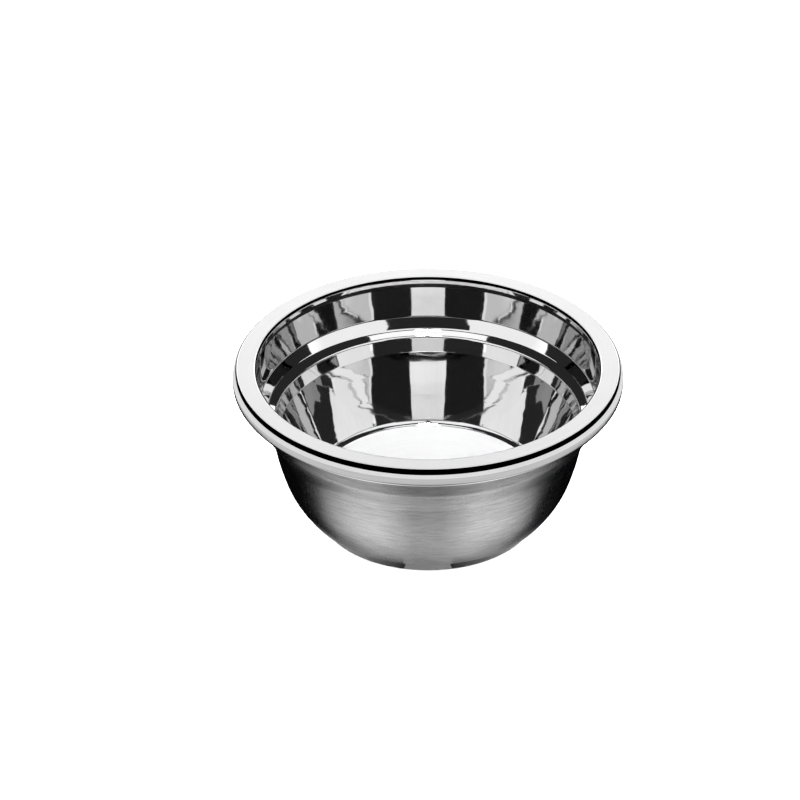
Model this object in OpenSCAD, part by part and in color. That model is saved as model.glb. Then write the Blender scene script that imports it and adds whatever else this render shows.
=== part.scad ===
// Double-walled steel shaving bowl: a stepped inner bowl and a smooth outer shell meet under a
// rolled rim ring, and a foot ring is welded under the shell. Every piece is pressed sheet steel,
// turned about the Z axis. The origin is at the middle of the foot's underside, +Z up.

/* [Bowl] */
// Diameter over the rim ring
rim_d = 120; // [110:1:130]
// Height from the resting surface to the top of the rim
total_h = 53; // [51:0.5:58]

/* [Rim ring] */
// Inner diameter of the collar inside the mouth
mouth_d = 105.2; // [104.8:0.1:105.4]
// Radius of the mouth's upper edge
mouth_round = 0.9; // [0.7:0.05:0.95]
// Depth of the collar inside the mouth
collar_h = 2; // [1.5:0.1:3]
// Height of the lip over the outside
lip_h = 5.9; // [5:0.1:7]
// Radius where the flat top turns down into the lip
lip_round = 1; // [0.8:0.05:1.1]
// Width of the curl that closes the lip underneath
curl_w = 3.2; // [3:0.1:3.4]
// Sheet thickness of the ring
ring_t = 0.6; // [0.5:0.05:0.7]

/* [Inner bowl] */
// Sheet thickness of the inner bowl
inner_t = 0.5; // [0.4:0.05:0.6]
// Depth of the step's upper edge below the rim
step_depth = 13.7; // [13.3:0.1:14]
// Radius of the upper band at the step
step_r = 51.9; // [51.5:0.1:52]
// Depth of the inside floor below the rim
floor_depth = 44.7; // [43:0.1:46]
// Radius of the floor where it meets the wall
floor_r = 36.4; // [35:0.1:37]
// Radius of the bend between the wall and the floor
floor_round = 2.5; // [1.5:0.1:4]
// Radius of the bend between the turned-out edge and the upper band
neck_round = 1.1; // [0.8:0.1:1.3]

/* [Outer shell] */
// Sheet thickness of the outer shell
outer_t = 0.5; // [0.4:0.05:0.6]
// Gap between the two walls where they run closest, at the step
wall_gap = 0.15; // [0.1:0.05:0.3]
// Radius of the belly just under the shoulder
belly_r = 48.8; // [48.5:0.1:49]
// Radius of the flat bottom's edge
bottom_r = 37.7; // [37:0.1:38.5]
// Radius of the bend round the flat bottom
bottom_round = 3; // [2:0.5:4]

/* [Foot] */
// Diameter of the foot ring
foot_d = 69.4; // [66:0.1:72]
// Height of the foot below the shell
foot_h = 4.2; // [3.5:0.1:4.5]
// Sheet thickness of the foot ring
foot_t = 0.8; // [0.6:0.1:1]
// Radius of the foot's lower outer edge
foot_round = 0.9; // [0.5:0.1:1.2]

/* [Hidden] */
$fn = 180;

polished = "gainsboro";
brushed = "darkgray";

rim_r = rim_d / 2;
mouth_r = mouth_d / 2;
foot_r = foot_d / 2;
// Largest turn of one straight piece in a rounded corner
arc_step = 5;

// Undersides of the three sheets that are stacked inside the rim
ring_under = total_h - ring_t;
inner_under = ring_under - inner_t;
outer_under = inner_under - outer_t;
// Radius where the stacked edges end, inside the lip
stack_r = rim_r - 1.8;
// Radius of the inner bowl behind the collar
neck_r = mouth_r + ring_t;
// Heights of the step's upper edge and of the inside floor
step_z = total_h - step_depth;
floor_z = total_h - floor_depth;

// ---- Rounded outlines: every point is [radius, height, corner radius] ----

function place(p) = [p[0], p[1]];
function unit(v) = v / norm(v);
function left_of(d) = [-d.y, d.x];
function cross_z(a, b) = a.x * b.y - a.y * b.x;

// Arc that replaces the corner at point b between points a and c
function corner(a, b, c) =
    let (
        v = place(b),
        to_a = unit(place(a) - v),
        to_c = unit(place(c) - v),
        half = acos(to_a * to_c) / 2,
        start = v + to_a * b[2] / tan(half),
        middle = v + unit(to_a + to_c) * b[2] / sin(half),
        spoke = start - middle,
        turn = (180 - 2 * half) * sign(cross_z(-to_a, to_c)),
        n = max(1, ceil(abs(turn) / arc_step))
    )
    b[2] == 0 ? [v] : [for (k = [0 : n]) middle + [
        spoke.x * cos(turn * k / n) - spoke.y * sin(turn * k / n),
        spoke.x * sin(turn * k / n) + spoke.y * cos(turn * k / n)
    ]];

// Outline of an open line of points, rounded at each inner point
function rounded_line(p) =
    let (last = len(p) - 1)
    [for (i = [0 : last])
        each (i == 0 || i == last ? [place(p[i])] : corner(p[i - 1], p[i], p[i + 1]))];

// Outline of a closed loop of points, rounded at every point
function rounded_loop(p) =
    let (n = len(p))
    [for (i = [0 : n - 1]) each corner(p[(i + n - 1) % n], p[i], p[(i + 1) % n])];

// The same line moved by t to its left, with its bends opened or closed to match
function moved_line(p, t) =
    let (last = len(p) - 1)
    [for (i = [0 : last])
        let (
            before = unit(place(p[max(i, 1)]) - place(p[max(i, 1) - 1])),
            after = unit(place(p[min(i, last - 1) + 1]) - place(p[min(i, last - 1)])),
            side = (left_of(before) + left_of(after)) / (1 + before * after),
            bend = p[i][2] == 0 ? 0 : max(0.05, p[i][2] - t * sign(cross_z(before, after))),
            moved = place(p[i]) + t * side
        )
        [moved.x, moved.y, bend]];

// Sheet of thickness t on the left of a line, turned into a solid
module pressed_sheet(line, t) {
    far_side = rounded_line(moved_line(line, t));
    rotate_extrude()
        polygon(concat(
            rounded_line(line),
            [for (i = [len(far_side) - 1 : -1 : 0]) far_side[i]]
        ));
}

// ---- Sub-parts ----

// Polished cover over both turned-out edges: collar, flat top, softly bulged lip, and the curl
// whose inner edge holds the stack from below
module rim_ring() {
    lip_bottom = total_h - lip_h;
    curl_round = (curl_w - 0.1) / 2;
    line = [
        [mouth_r, total_h - collar_h, 0],
        [mouth_r, total_h, mouth_round],
        [rim_r - 1.2, total_h, lip_round],
        [rim_r - 0.5, total_h - 0.8, 2.5],
        [rim_r, total_h - 2.6, 7],
        [rim_r, lip_bottom, curl_round],
        [rim_r - curl_w, lip_bottom, curl_round],
        [rim_r - curl_w, outer_under, 0]
    ];
    color(polished) pressed_sheet(line, -ring_t);
}

// Mirror-polished bowl: turned-out edge, upper band, step, gently curved wall and flat floor
module inner_bowl() {
    line = [
        [stack_r, ring_under, 0],
        [neck_r, ring_under, neck_round],
        [neck_r, total_h - collar_h - 0.4, 2],
        [step_r, step_z, 1.2],
        [step_r - 2.3, step_z - 3.5, 1.5],
        [step_r - 4.9, step_z - 4.7, 1.2],
        [floor_r + 9.6, floor_z + 21.4, 2],
        [floor_r + 5.8, floor_z + 12.2, 150],
        [floor_r, floor_z, floor_round],
        [0, floor_z, 0]
    ];
    color(polished) pressed_sheet(line, inner_t);
}

// Brushed shell: turned-out edge, upper band, soft shoulder, round belly and flat bottom
module outer_shell() {
    // Distance from the inner bowl's inside face to the shell's outside face
    both_walls = inner_t + wall_gap + outer_t;
    line = [
        [stack_r, outer_under, 0],
        [neck_r + both_walls + 0.2, outer_under, 0.8],
        [step_r + both_walls + 0.3, step_z + 0.3, 3],
        [belly_r, step_z - 6.5, 9],
        [belly_r - 2.1, step_z - 16.9, 66],
        [belly_r - 5.5, step_z - 28.2, 33.5],
        [bottom_r, foot_h, bottom_round],
        [0, foot_h, 0]
    ];
    color(brushed) pressed_sheet(line, -outer_t);
}

// Polished channel-shaped ring, welded under the shell by its upper leg
module foot_ring() {
    upper_leg = 5;
    toe = 2.4;
    // Small rounding of the cut edges
    edge = 0.3;
    inside_bend = 0.2;
    // The band leans in by this much at its top
    lean = 0.3;
    color(polished)
        rotate_extrude()
            polygon(rounded_loop([
                [foot_r - toe, 0, edge],
                [foot_r, 0, foot_round],
                [foot_r - lean, foot_h, 0.6],
                [foot_r - upper_leg, foot_h, 0],
                [foot_r - upper_leg, foot_h - foot_t, inside_bend],
                [foot_r - lean - foot_t, foot_h - foot_t, inside_bend],
                [foot_r - foot_t, foot_t, inside_bend],
                [foot_r - toe, foot_t, edge]
            ]));
}

rim_ring();
inner_bowl();
outer_shell();
foot_ring();
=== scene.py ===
"""Looks of the double-walled steel shaving bowl: four turned sheet-steel pieces and a studio.

Every piece is turned about Z from a rounded outline. Outlines are in millimetres, as (radius, height,
corner radius), and become metres when the mesh is made. The studio is a pale floor, soft light, and a
set of bright and dark cards that only the polished steel sees.
"""

import math

import bmesh
import bpy
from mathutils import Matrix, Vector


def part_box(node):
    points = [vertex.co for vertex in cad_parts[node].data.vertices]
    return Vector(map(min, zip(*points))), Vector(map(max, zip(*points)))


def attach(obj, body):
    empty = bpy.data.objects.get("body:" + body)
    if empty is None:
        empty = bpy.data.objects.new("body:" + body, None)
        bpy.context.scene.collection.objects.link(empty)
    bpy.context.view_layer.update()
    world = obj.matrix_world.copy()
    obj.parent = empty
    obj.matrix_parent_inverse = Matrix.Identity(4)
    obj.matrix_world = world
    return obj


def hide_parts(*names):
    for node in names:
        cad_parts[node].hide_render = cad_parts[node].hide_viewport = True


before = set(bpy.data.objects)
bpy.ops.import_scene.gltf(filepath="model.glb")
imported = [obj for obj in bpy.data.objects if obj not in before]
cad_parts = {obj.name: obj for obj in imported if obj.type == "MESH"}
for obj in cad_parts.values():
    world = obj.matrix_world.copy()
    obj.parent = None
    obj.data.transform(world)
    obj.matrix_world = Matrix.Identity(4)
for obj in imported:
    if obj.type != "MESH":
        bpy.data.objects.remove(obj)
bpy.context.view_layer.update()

MM = 0.001
SEGMENTS = 256
ARC_STEP = math.radians(4)
# Longest step along a straight run, and the short step next to its ends, in millimetres
FLAT_STEP = 1.1
SUPPORT = 0.06
# Smallest bend that is shaded as an edge
SHARP = math.radians(30)

# ---- Sizes, in millimetres, from the frame ----

rim_low, rim_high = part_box("rim_ring")
inner_low, inner_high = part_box("inner_bowl")
foot_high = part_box("foot_ring")[1]

# Sheet thicknesses
RING_T = 0.6
SHEET_T = 0.5
FOOT_T = 0.8

# Rim ring, and the undersides of its top and of the two sheets stacked below it
RIM_R = rim_high.x / MM
RIM_Z = rim_high.z / MM
LIP_Z = rim_low.z / MM
MOUTH_R = 52.6
COLLAR_H = 2.0
CURL_W = 3.2
STACK_R = inner_high.x / MM
RING_UNDER = RIM_Z - RING_T
OUTER_UNDER = RING_UNDER - 2 * SHEET_T

# Inner bowl: the neck behind the collar, the band under the collar painted near black as painted shadow,
# the step and the floor
NECK_R = MOUTH_R + RING_T
NECK_Z = RIM_Z - COLLAR_H - 0.4
# Lower edge of the painted shadow under the collar
COLLAR_SHADOW_Z = RIM_Z - 3.7
STEP_R = 51.9
STEP_Z = RIM_Z - 13.7
FLOOR_R = 36.4
FLOOR_Z = inner_low.z / MM + SHEET_T

# Outer shell: distance between the two walls' visible faces, belly and flat bottom
BOTH_WALLS = 2 * SHEET_T + 0.15
BELLY_R = 48.8
BOTTOM_R = 37.7

# Foot ring
FOOT_R = foot_high.x / MM
FOOT_Z = foot_high.z / MM


# ---- Rounded outlines ----


def minus(a, b):
    return (a[0] - b[0], a[1] - b[1])


def unit(v):
    size = math.hypot(*v)
    return (v[0] / size, v[1] / size)


def mixed(a, b, share):
    return [p + (q - p) * share for p, q in zip(a, b)]


def radius_at(z, a, b):
    """Radius at height z on the straight line through points a and b."""
    return mixed(a, b, (z - a[1]) / (b[1] - a[1]))[0]


def cross(a, b):
    return a[0] * b[1] - a[1] * b[0]


def dot(a, b):
    return a[0] * b[0] + a[1] * b[1]


def corner(a, b, c):
    """Points of the arc that replaces corner b between points a and c."""
    if b[2] == 0:
        return [(b[0], b[1])]
    to_a = unit(minus(a, b))
    to_c = unit(minus(c, b))
    half = math.acos(max(-1, min(1, dot(to_a, to_c)))) / 2
    reach = b[2] / math.tan(half)
    start = (b[0] + to_a[0] * reach, b[1] + to_a[1] * reach)
    middle_way = unit((to_a[0] + to_c[0], to_a[1] + to_c[1]))
    depth = b[2] / math.sin(half)
    middle = (b[0] + middle_way[0] * depth, b[1] + middle_way[1] * depth)
    spoke = minus(start, middle)
    turn = (math.pi - 2 * half) * math.copysign(1, -cross(to_a, to_c))
    steps = max(2, math.ceil(abs(turn) / ARC_STEP))
    points = []
    for k in range(steps + 1):
        cos, sin = math.cos(turn * k / steps), math.sin(turn * k / steps)
        r = middle[0] + spoke[0] * cos - spoke[1] * sin
        z = middle[1] + spoke[0] * sin + spoke[1] * cos
        points.append((r, z))
    return points


def rounded(line):
    """Outline of an open line of points, rounded at inner points and divided along straight runs."""
    corners = [[(line[0][0], line[0][1])]]
    for before, here, after in zip(line, line[1:], line[2:]):
        corners.append(corner(before, here, after))
    corners.append([(line[-1][0], line[-1][1])])
    outline = list(corners[0])
    for points in corners[1:]:
        outline += between(outline[-1], points[0])
        outline += points
    return outline


def between(a, b):
    """Points that divide the straight run from a to b, without its ends, closer together near the ends."""
    size = math.dist(a, b)
    steps = math.ceil(size / FLAT_STEP)
    shares = [k / steps for k in range(1, steps)]
    if size > 3 * SUPPORT:
        shares = [SUPPORT / size] + [s for s in shares if 2 * SUPPORT < s * size < size - 2 * SUPPORT]
        shares.append(1 - SUPPORT / size)
    return [(a[0] + (b[0] - a[0]) * s, a[1] + (b[1] - a[1]) * s) for s in shares]


def moved(line, t):
    """The same line moved by t to its left, with its bends opened or closed to match."""
    last = len(line) - 1
    result = []
    for i, (r, z, bend) in enumerate(line):
        before = unit(minus(line[max(i, 1)], line[max(i, 1) - 1]))
        after = unit(minus(line[min(i, last - 1) + 1], line[min(i, last - 1)]))
        scale = t / (1 + dot(before, after))
        side = (-(before[1] + after[1]) * scale, (before[0] + after[0]) * scale)
        new_bend = bend
        if bend:
            new_bend = max(0.05, bend - math.copysign(t, t * cross(before, after)))
        result.append((r + side[0], z + side[1], new_bend))
    return result


def sheet(line, t):
    """Closed outline of a sheet of thickness t on the left of a line."""
    return rounded(line) + rounded(moved(line, t))[::-1]


# ---- Turned meshes ----


def lathe(name, outline, finishes, finish_of):
    """Solid turned about Z from a closed outline. finish_of(r, z) gives a face's finish."""
    mesh = bmesh.new()
    along = mesh.verts.layers.float.new("along")
    rings = []
    travelled = 0.0
    previous = outline[0]
    for r, z in outline:
        travelled += math.dist(previous, (r, z))
        previous = (r, z)
        spots = 1 if r < 1e-6 else SEGMENTS
        ring = []
        for k in range(spots):
            angle = 2 * math.pi * k / SEGMENTS
            vert = mesh.verts.new((r * MM * math.cos(angle), r * MM * math.sin(angle), z * MM))
            vert[along] = travelled * MM
            ring.append(vert)
        rings.append(ring)
    for i, ring in enumerate(rings):
        following = (i + 1) % len(rings)
        other = rings[following]
        if len(ring) == 1 and len(other) == 1:
            continue
        finish = finishes.index(finish_of(*mixed(outline[i], outline[following], 0.5)))
        for k in range(SEGMENTS):
            n = (k + 1) % SEGMENTS
            near = [ring[k % len(ring)], ring[n % len(ring)]]
            far = [other[n % len(other)], other[k % len(other)]]
            # On the axis both points of a side are the same one
            face = mesh.faces.new(list(dict.fromkeys(near + far)))
            face.material_index = finish
            face.smooth = True
    bmesh.ops.recalc_face_normals(mesh, faces=mesh.faces)
    data = bpy.data.meshes.new(name)
    mesh.to_mesh(data)
    mesh.free()
    data.set_sharp_from_angle(angle=SHARP)
    for finish in finishes:
        data.materials.append(finish)
    piece = bpy.data.objects.new(name, data)
    bpy.context.scene.collection.objects.link(piece)
    return piece


# ---- Materials ----


class Nodes:
    """A short way to build a material's nodes."""

    def __init__(self, name):
        self.material = bpy.data.materials.new(name)
        self.material.use_nodes = True
        self.tree = self.material.node_tree
        self.shader = self.tree.nodes["Principled BSDF"]

    def add(self, kind, **values):
        node = self.tree.nodes.new(kind)
        for key, value in values.items():
            setattr(node, key, value)
        return node

    def link(self, source, target):
        self.tree.links.new(source, target)

    def math(self, operation, a, b=0.0):
        node = self.add("ShaderNodeMath", operation=operation)
        for socket, value in zip(node.inputs, (a, b)):
            if isinstance(value, (int, float)):
                socket.default_value = value
            else:
                self.link(value, socket)
        return node.outputs[0]

    def noise(self, vector, scale, detail=2.0, roughness=0.5):
        node = self.add("ShaderNodeTexNoise")
        node.inputs["Scale"].default_value = scale
        node.inputs["Detail"].default_value = detail
        node.inputs["Roughness"].default_value = roughness
        self.link(vector, node.inputs["Vector"])
        return node.outputs["Fac"]

    def span(self, value, low, high, to_low, to_high):
        node = self.add("ShaderNodeMapRange")
        node.inputs["From Min"].default_value = low
        node.inputs["From Max"].default_value = high
        node.inputs["To Min"].default_value = to_low
        node.inputs["To Max"].default_value = to_high
        self.link(value, node.inputs["Value"])
        return node.outputs["Result"]

    def place(self):
        return self.add("ShaderNodeTexCoord").outputs["Object"]

    def turned_place(self, around, across):
        """Coordinates for turning marks: they run slowly round the axis and fast along the outline."""
        parts = self.add("ShaderNodeSeparateXYZ")
        self.link(self.place(), parts.inputs[0])
        along = self.add("ShaderNodeAttribute", attribute_name="along")
        joined = self.add("ShaderNodeCombineXYZ")
        self.link(self.math("MULTIPLY", parts.outputs["X"], around), joined.inputs["X"])
        self.link(self.math("MULTIPLY", parts.outputs["Y"], around), joined.inputs["Y"])
        self.link(self.math("MULTIPLY", along.outputs["Fac"], across), joined.inputs["Z"])
        return joined.outputs[0]

    def grey(self, value, dark, light):
        """Base colour between two greys, by a value from 0 to 1."""
        ramp = self.add("ShaderNodeValToRGB")
        for element, tone in zip(ramp.color_ramp.elements, (dark, light)):
            element.color = (tone, tone, tone, 1)
        self.link(value, ramp.inputs["Fac"])
        self.link(ramp.outputs["Color"], self.shader.inputs["Base Color"])

    def bump(self, height, distance, below=None):
        node = self.add("ShaderNodeBump")
        node.inputs["Distance"].default_value = distance
        self.link(height, node.inputs["Height"])
        if below is not None:
            self.link(below, node.inputs["Normal"])
        return node.outputs["Normal"]


def steel(name):
    nodes = Nodes(name)
    nodes.shader.inputs["Metallic"].default_value = 1.0
    return nodes


def mirror_steel(name, waves, dark, light):
    """Polished steel: hair-fine rings, faint smears, and the slow waves of pressed sheet, in metres."""
    nodes = steel(name)
    rings = nodes.noise(nodes.turned_place(40, 5000), 1.0, 3.0)
    smears = nodes.noise(nodes.place(), 55.0, 4.0, 0.6)
    nodes.grey(nodes.span(smears, 0.3, 0.7, 0.0, 1.0), dark, light)
    ring_rough = nodes.span(rings, 0.3, 0.7, 0.0, 0.02)
    smear_rough = nodes.span(smears, 0.4, 0.7, 0.015, 0.035)
    nodes.link(nodes.math("ADD", ring_rough, smear_rough), nodes.shader.inputs["Roughness"])
    sheet_waves = nodes.noise(nodes.turned_place(45, 90), 1.0, 2.0)
    slow = nodes.bump(sheet_waves, waves)
    fine = nodes.bump(rings, 0.0000006, slow)
    nodes.link(fine, nodes.shader.inputs["Normal"])
    return nodes.material


def satin_steel(name, dark, light, rough, metallic=1.0):
    """Satin steel, turned with fine rings. Metallic below 1 adds the even grey of a matt grind."""
    nodes = steel(name)
    nodes.shader.inputs["Metallic"].default_value = metallic
    rings = nodes.noise(nodes.turned_place(60, 4200), 1.0, 4.0, 0.6)
    clouds = nodes.noise(nodes.place(), 90.0, 3.0)
    nodes.grey(nodes.span(rings, 0.3, 0.7, 0.0, 1.0), dark, light)
    nodes.link(nodes.span(clouds, 0.3, 0.7, rough - 0.03, rough + 0.04), nodes.shader.inputs["Roughness"])
    nodes.link(nodes.bump(rings, 0.000004), nodes.shader.inputs["Normal"])
    return nodes.material


def brushed_steel(name):
    """Steel brushed round the axis. Its gloss spreads across the brush lines, not along them."""
    nodes = steel(name)
    nodes.shader.inputs["Anisotropic"].default_value = 1.0
    nodes.shader.inputs["Anisotropic Rotation"].default_value = 0.25
    tangent = nodes.add("ShaderNodeTangent", direction_type="RADIAL", axis="Z")
    nodes.link(tangent.outputs[0], nodes.shader.inputs["Tangent"])
    coarse = nodes.noise(nodes.turned_place(130, 1500), 1.0, 2.0, 0.5)
    fine = nodes.noise(nodes.turned_place(260, 4400), 1.0, 3.0, 0.6)
    clouds = nodes.noise(nodes.place(), 70.0, 3.0, 0.55)
    lines = nodes.math("ADD", nodes.math("MULTIPLY", coarse, 0.45), nodes.math("MULTIPLY", fine, 0.55))
    tone = nodes.math("ADD", nodes.math("MULTIPLY", lines, 0.7), nodes.math("MULTIPLY", clouds, 0.3))
    nodes.grey(nodes.span(tone, 0.36, 0.64, 0.0, 1.0), 0.52, 0.84)
    nodes.link(nodes.span(clouds, 0.3, 0.7, 0.25, 0.30), nodes.shader.inputs["Roughness"])
    nodes.link(nodes.bump(lines, 0.000006), nodes.shader.inputs["Normal"])
    return nodes.material


polished_edge = mirror_steel("polished_edge", 0.00001, 0.86, 0.92)
satin_top = satin_steel("satin_top", 0.41, 0.44, 0.12, 0.85)
polished_wall = mirror_steel("polished_wall", 0.00007, 0.86, 0.91)
polished_band = mirror_steel("polished_band", 0.00007, 0.55, 0.61)
polished_foot = mirror_steel("polished_foot", 0.00002, 0.62, 0.72)
satin_lip = satin_steel("satin_lip", 0.61, 0.70, 0.16)
satin_floor = satin_steel("satin_floor", 0.90, 0.95, 0.7)
# Near-black painted shadow on the inner bowl just under the collar's edge, where the gap is in shade
painted_collar_shadow = satin_steel("painted_collar_shadow", 0.02, 0.04, 0.3)
# Darker band of painted shadow along the foot's top, in the joint with the shell
painted_foot_shadow = satin_steel("painted_foot_shadow", 0.16, 0.24, 0.3)
brushed = brushed_steel("brushed_steel")


# ---- Pieces ----


def make_rim():
    """Polished cover with a satin flat top and a satin lip band."""
    curl_round = (CURL_W - 0.1) / 2
    line = [
        (MOUTH_R, RIM_Z - COLLAR_H, 0),
        (MOUTH_R, RIM_Z, 0.9),
        (RIM_R - 1.2, RIM_Z, 1),
        (RIM_R - 0.5, RIM_Z - 0.8, 2.5),
        (RIM_R, RIM_Z - 2.6, 7),
        (RIM_R, LIP_Z, curl_round),
        (RIM_R - CURL_W, LIP_Z, curl_round),
        (RIM_R - CURL_W, OUTER_UNDER, 0),
    ]

    def finish_of(r, z):
        if z > RIM_Z - 0.01:
            return satin_top
        on_lip = r > RIM_R - 0.5 and LIP_Z + 1 < z < RIM_Z - 2.8
        return satin_lip if on_lip else polished_edge

    return lathe("rim_cover", sheet(line, -RING_T), [polished_edge, satin_top, satin_lip], finish_of)


def make_inner():
    """Mirror bowl with a greyer upper band, a near-black band of painted shadow under the collar, and a
    satin floor.
    """
    line = [
        (STACK_R, RING_UNDER, 0),
        (NECK_R, RING_UNDER, 1.1),
        (NECK_R, NECK_Z, 2),
        (radius_at(COLLAR_SHADOW_Z, (NECK_R, NECK_Z), (STEP_R, STEP_Z)), COLLAR_SHADOW_Z, 0),
        (STEP_R, STEP_Z, 1.2),
        (STEP_R - 2.3, STEP_Z - 3.5, 1.5),
        (STEP_R - 4.9, STEP_Z - 4.7, 1.2),
        (FLOOR_R + 9.6, FLOOR_Z + 21.4, 2),
        (FLOOR_R + 5.8, FLOOR_Z + 12.2, 150),
        (FLOOR_R, FLOOR_Z, 2.5),
        (0, FLOOR_Z, 0),
    ]

    def finish_of(r, z):
        if abs(z - FLOOR_Z) < 0.05:
            return satin_floor
        # Above this height the bowl is painted near black: painted shadow under the collar
        if z > COLLAR_SHADOW_Z:
            return painted_collar_shadow
        return polished_band if z > STEP_Z else polished_wall

    finishes = [polished_wall, satin_floor, polished_band, painted_collar_shadow]
    return lathe("mirror_bowl", sheet(line, SHEET_T), finishes, finish_of)


def make_shell():
    """Brushed outer shell."""
    line = [
        (STACK_R, OUTER_UNDER, 0),
        (NECK_R + BOTH_WALLS + 0.2, OUTER_UNDER, 0.8),
        (STEP_R + BOTH_WALLS + 0.3, STEP_Z + 0.3, 3),
        (BELLY_R, STEP_Z - 6.5, 9),
        (BELLY_R - 2.1, STEP_Z - 16.9, 66),
        (BELLY_R - 5.5, STEP_Z - 28.2, 33.5),
        (BOTTOM_R, FOOT_Z, 3),
        (0, FOOT_Z, 0),
    ]
    return lathe("brushed_shell", sheet(line, -SHEET_T), [brushed], lambda r, z: brushed)


def make_foot():
    """Polished foot ring, with a band of painted shadow along its top where it is welded to the shell."""
    toe = 2.4
    upper_leg = 5
    top_r = FOOT_R - 0.3
    # Above this height the foot's outer side is painted darker: painted shadow in the joint with the shell
    foot_shadow_z = FOOT_Z - 1.3
    # The loop starts and ends in the middle of the toe's underside
    loop = [
        (FOOT_R - toe / 2, 0, 0),
        (FOOT_R, 0, 0.9),
        (radius_at(foot_shadow_z, (FOOT_R, 0), (top_r, FOOT_Z)), foot_shadow_z, 0),
        (top_r, FOOT_Z, 0.6),
        (FOOT_R - upper_leg, FOOT_Z, 0),
        (FOOT_R - upper_leg, FOOT_Z - FOOT_T, 0.2),
        (top_r - FOOT_T, FOOT_Z - FOOT_T, 0.2),
        (FOOT_R - FOOT_T, FOOT_T, 0.2),
        (FOOT_R - toe, FOOT_T, 0.3),
        (FOOT_R - toe, 0, 0.3),
        (FOOT_R - toe / 2, 0, 0),
    ]

    def finish_of(r, z):
        return painted_foot_shadow if z > foot_shadow_z and r > FOOT_R - 1 else polished_foot

    return lathe("foot_band", rounded(loop)[:-1], [polished_foot, painted_foot_shadow], finish_of)


pieces = {}
for make, node, slot in (
    (make_rim, "rim_ring", "rim_steel"),
    (make_inner, "inner_bowl", "mirror_steel"),
    (make_shell, "outer_shell", "brushed_steel"),
    (make_foot, "foot_ring", "foot_steel"),
):
    piece = make()
    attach(piece, "root")
    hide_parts(node)
    pieces[node] = piece


# ---- Studio ----

# Cards stand this far from the bowl, in metres, with this many columns
STUDIO_R = 1.6
COLUMNS = 24
SHARES = [k / COLUMNS for k in range(COLUMNS + 1)]

# On the floor, in metres: radius under the foot, radius just outside it, end of the floor near the shell,
# and half the floor's width
INNER_FLOOR = 0.034
FOOT_FLOOR = 0.04
NEAR_FLOOR = 0.12
FLOOR_HALF = 4.0
# Radius at which the shell reflects the floor, in metres
SHELL_R = 0.046

# Floor near the shell, from the foot outwards: radius, strength in front, share of the sides' extra light
NEAR_STOPS = [
    [FOOT_FLOOR, 0.3, 0.2],
    [0.05, 0.5, 0.25],
    [0.055, 0.62, 0.5],
    [0.06, 0.68, 0.9],
    [0.065, 0.72, 1.1],
    [0.07, 0.4, 1.2],
    [0.08, 0.2, 1.2],
    [0.09, 0.2, 1.2],
    [0.1, 0.35, 1.0],
    [NEAR_FLOOR, 0.55, 0.8],
]


def glow_material():
    """Light whose strength comes from the card's own "glow" values."""
    material = bpy.data.materials.new("card_glow")
    material.use_nodes = True
    tree = material.node_tree
    tree.nodes.clear()
    strength = tree.nodes.new("ShaderNodeAttribute")
    strength.attribute_name = "glow"
    glow = tree.nodes.new("ShaderNodeEmission")
    tree.links.new(strength.outputs["Fac"], glow.inputs["Strength"])
    output = tree.nodes.new("ShaderNodeOutputMaterial")
    tree.links.new(glow.outputs[0], output.inputs["Surface"])
    return material


def all_but(node):
    """Collection for light linking that leaves out one piece."""
    receivers = bpy.data.collections.new("all_but_" + node)
    receivers.objects.link(pieces[node])
    receivers.collection_objects[0].light_linking.link_state = "EXCLUDE"
    return receivers


card_glow = glow_material()
all_but_rim = all_but("rim_ring")
all_but_shell = all_but("outer_shell")


def stage_mesh(name, rows, material):
    """Grid of points as a mesh for the studio."""
    columns = len(rows[0])
    verts = [point for row in rows for point in row]
    faces = []
    for i in range(len(rows) - 1):
        for j in range(columns - 1):
            a = i * columns + j
            faces.append((a, a + 1, a + columns + 1, a + columns))
    data = bpy.data.meshes.new(name)
    data.from_pydata(verts, [], faces)
    data.materials.append(material)
    piece = bpy.data.objects.new(name, data)
    bpy.context.scene.collection.objects.link(piece)
    return piece


def card(name, rows, glows):
    """Grid of points that glows, with a strength for each point. It is seen only in reflections."""
    piece = stage_mesh(name, rows, card_glow)
    layer = piece.data.attributes.new("glow", "FLOAT", "POINT")
    layer.data.foreach_set("value", [glow for row in glows for glow in row])
    for ray in ("camera", "diffuse", "shadow", "transmission", "volume_scatter"):
        setattr(piece, "visible_" + ray, False)
    return piece


def filled(stops, size):
    """The same stops, with more between them, so that the first value never steps by more than size."""
    result = [list(stops[0])]
    for a, b in zip(stops, stops[1:]):
        count = max(1, math.ceil(abs(b[0] - a[0]) / size))
        result += [mixed(a, b, k / count) for k in range(1, count + 1)]
    return result


def sides(name, both):
    """Name and sign of azimuth of a card, and of its mirror image where there is one."""
    return [(name, 1), (name + "_mirrored", -1)] if both else [(name, 1)]


def dome_point(azimuth, elevation, radius):
    """Azimuth 0 is towards the camera, which stands at -Y. Elevation is above the rim's plane."""
    a, e = math.radians(azimuth), math.radians(elevation)
    flat = radius * math.cos(e)
    return (flat * math.sin(a), -flat * math.cos(a), RIM_Z * MM + radius * math.sin(e))


def softbox(name, stops, radius=STUDIO_R, lights_rim=False, both_sides=False):
    """Curved card given by stops of [elevation, first azimuth, last azimuth, strength], in degrees."""
    for side_name, side in sides(name, both_sides):
        rows = []
        glows = []
        for elevation, first, last, strength in filled(stops, 3):
            azimuths = [side * (first + (last - first) * s) for s in SHARES]
            rows.append([dome_point(azimuth, elevation, radius) for azimuth in azimuths])
            glows.append([strength] * len(SHARES))
        piece = card(side_name, rows, glows)
        if not lights_rim:
            piece.light_linking.receiver_collection = all_but_rim


# Wall behind the bowl, the only softbox that lights the rim
softbox("back_wall", [
    [18, 155, 205, 1.6],
    [29.5, 155, 205, 1.55],
    [31, 155, 205, 1.4],
    [33, 155, 205, 1.3],
    [34, 155, 205, 1.2],
    [37, 155, 205, 0.75],
    [60, 155, 205, 0.7],
], lights_rim=True)
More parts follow.
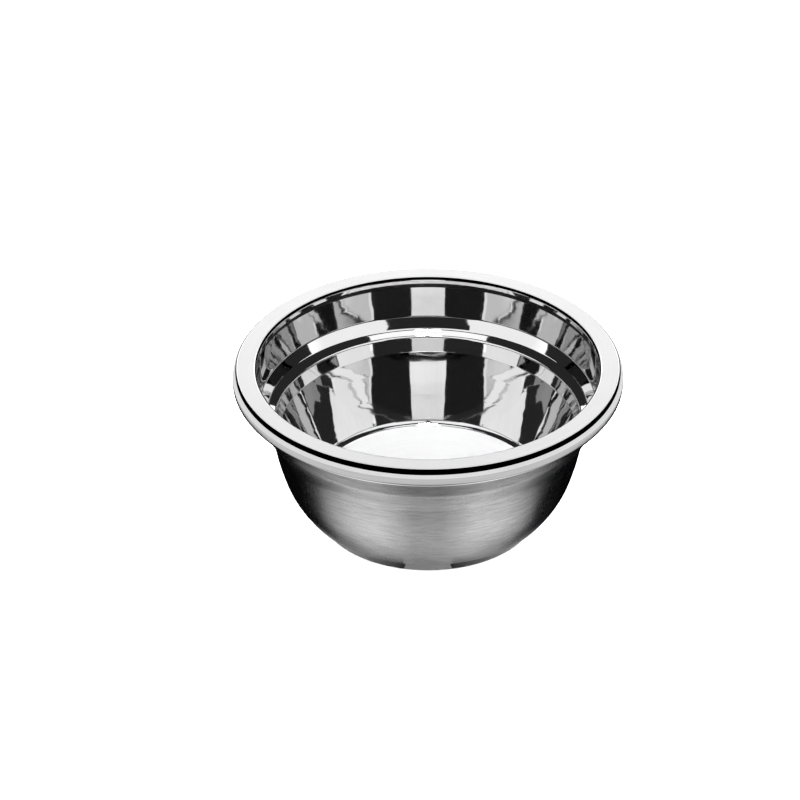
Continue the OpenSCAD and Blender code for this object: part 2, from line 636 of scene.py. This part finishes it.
# Ceiling: its back, its front half, and a bright spot overhead that lights the satin floor
softbox("back_top", [
    [60, 150, 210, 1.1],
    [68, 150, 210, 1.1],
    [70, 125, 235, 1.1],
    [86, 125, 235, 1.1],
])
softbox("cap", [[86, 0, 360, 140.0], [90, 0, 360, 140.0]])
softbox("front_top", [
    [42, 0, 66, 1.0],
    [56, 3, 66, 1.0],
    [60, 6, 64, 1.0],
    [72, 6, 56, 1.0],
], both_sides=True)
# Large lights at both sides, with a brighter line along the far edge
softbox("side_box", [
    [19, 33, 82, 1.2],
    [21, 33, 100, 1.2],
    [22, 33, 104, 1.1],
    [24, 33, 101, 0.95],
    [27, 32, 96, 0.95],
    [34, 31, 94, 0.95],
    [37, 23, 91, 0.95],
    [39, 15, 88, 0.95],
    [42, 4, 84, 0.95],
    [56, 4, 74, 0.95],
], both_sides=True)
softbox("side_box_edge", [
    [20, 96, 100, 1.4],
    [22.5, 100, 104, 1.4],
    [24, 97, 101, 1.4],
    [27, 92, 96, 1.4],
    [36, 88, 92, 1.4],
], radius=1.55, both_sides=True)
# Grey in front, and near black wherever no card stands
softbox("grey_front", [
    [18, -16, 16, 0.26],
    [24, -16, 16, 0.26],
    [26, -30, 30, 0.3],
    [29.5, -30, 30, 0.3],
    [31, -14, 14, 0.26],
    [33.5, -6, 6, 0.26],
])
softbox("dark_dome", [[0, -180, 180, 0.02], [90, -180, 180, 0.02]], radius=2.0)


def floor_point(radius, azimuth):
    """Point of a floor card, a little above the floor."""
    a = math.radians(azimuth)
    return (radius * math.sin(a), -radius * math.cos(a), 0.0002)


def azimuth_at(radius, direction):
    """Azimuth, seen from the axis, of the floor that the shell reflects in a given direction."""
    turn = math.radians(direction)
    return direction - math.degrees(math.asin(min(1, SHELL_R * math.sin(turn / 2) / radius)))


def floor_card(name, stops, lights_shell=True, both_sides=False):
    """Flat card round the foot, given by stops of [radius, first and last azimuth, strength at both]."""
    for side_name, side in sides(name, both_sides):
        rows = []
        glows = []
        for radius, first, last, low, high in filled(stops, 0.2):
            rows.append([floor_point(radius, side * (first + (last - first) * s)) for s in SHARES])
            glows.append([low + (high - low) * s for s in SHARES])
        piece = card(side_name, rows, glows)
        if not lights_shell:
            piece.light_linking.receiver_collection = all_but_shell


def near_card(name, directions, shares, both_sides=True):
    """Floor near the shell between two directions of reflection, with shares of NEAR_STOPS' strength."""
    stops = []
    for radius, glow, lift in NEAR_STOPS:
        first, last = (azimuth_at(radius, direction) for direction in directions)
        low, high = (glow * (1 + (share - 1) * lift) if share > 1 else glow * share for share in shares)
        stops.append([radius, first, last, low, high])
    floor_card(name, stops, both_sides=both_sides)


def near_back():
    """Floor behind the shell, which fades in from the flags to the strength in front."""
    fades = []
    middle = []
    for radius, glow, lift in NEAR_STOPS:
        fades.append([radius, azimuth_at(radius, 165), 165, 0, glow])
        middle.append([radius, 165, 195, glow, glow])
    floor_card("near_back_fade", fades, both_sides=True)
    floor_card("near_back", middle)


def foot_card(name, directions, glows, both_sides=False):
    """Floor at the foot, from one azimuth to another and from one strength to another."""
    stops = [[radius, *directions, *glows] for radius in (INNER_FLOOR, FOOT_FLOOR)]
    floor_card(name, stops, both_sides=both_sides)


# The shell is brightest a little to each side of its middle, and black towards its outer edges
near_card("near_middle", (-12, 12), (1, 1), both_sides=False)
near_card("near_rise", (12, 40), (1, 2.0))
near_card("near_bright", (40, 65), (2.0, 1.8))
near_card("near_fall", (65, 95), (1.8, 0.5))
near_card("near_flag", (95, 165), (0, 0))
near_back()
# The foot is grey in front, with a dark patch to each side that fades outwards
foot_card("foot_front", (-12.5, 12.5), (0.3, 0.3))
foot_card("foot_shade", (12.5, 34), (0.03, 0.2), both_sides=True)
foot_card("foot_side", (34, 90), (0.22, 0.7), both_sides=True)
foot_card("foot_back", (90, 270), (0.3, 0.3))
# The rest of the floor, kept off the shell
far_stops = [[radius, 0, 360, 0.8, 0.8] for radius in (NEAR_FLOOR, FLOOR_HALF)]
floor_card("far_floor", far_stops, lights_shell=False)


def make_floor():
    """Pale matt floor, left out of reflections because the floor cards stand for it there."""
    material = bpy.data.materials.new("pale_floor")
    material.use_nodes = True
    shader = material.node_tree.nodes["Principled BSDF"]
    shader.inputs["Base Color"].default_value = (0.93, 0.93, 0.93, 1)
    shader.inputs["Roughness"].default_value = 1.0
    shader.inputs["Specular IOR Level"].default_value = 0.0
    rows = [[(x, y, 0.0) for x in (-FLOOR_HALF, FLOOR_HALF)] for y in (-FLOOR_HALF, FLOOR_HALF)]
    floor = stage_mesh("floor", rows, material)
    floor.visible_glossy = False


def make_lights():
    """Even white light from all round and a soft one overhead, both left out of reflections."""
    world = bpy.data.worlds.new("studio")
    bpy.context.scene.world = world
    world.use_nodes = True
    background = world.node_tree.nodes["Background"]
    background.inputs["Color"].default_value = (1, 1, 1, 1)
    background.inputs["Strength"].default_value = 5.0
    world.cycles_visibility.glossy = False
    light = bpy.data.lights.new("top_light", "AREA")
    light.shape = "DISK"
    light.size = 2.4
    light.energy = 60
    lamp = bpy.data.objects.new("top_light", light)
    lamp.location = (0, 0, 2.2)
    lamp.visible_glossy = False
    lamp.visible_camera = False
    bpy.context.scene.collection.objects.link(lamp)


def make_camera():
    """Long lens that looks down at the bowl, at a distance in metres from the middle of its mouth."""
    distance = 1.2
    elevation = math.radians(31.65)
    pitch = math.radians(32.165)
    camera = bpy.data.cameras.new("camera")
    camera.sensor_width = 36
    camera.lens = 176.2
    camera.shift_x = -0.035
    camera.clip_start = 0.05
    camera.clip_end = 50
    holder = bpy.data.objects.new("camera", camera)
    rim_z = RIM_Z * MM
    holder.location = (0, -distance * math.cos(elevation), rim_z + distance * math.sin(elevation))
    holder.rotation_euler = (math.pi / 2 - pitch, 0, 0)
    bpy.context.scene.collection.objects.link(holder)
    bpy.context.scene.camera = holder


make_floor()
make_lights()
make_camera()

scene = bpy.context.scene
scene.view_settings.view_transform = "Standard"
scene.cycles.glossy_bounces = 12
scene.cycles.max_bounces = 16

bpy.context.view_layer.update()
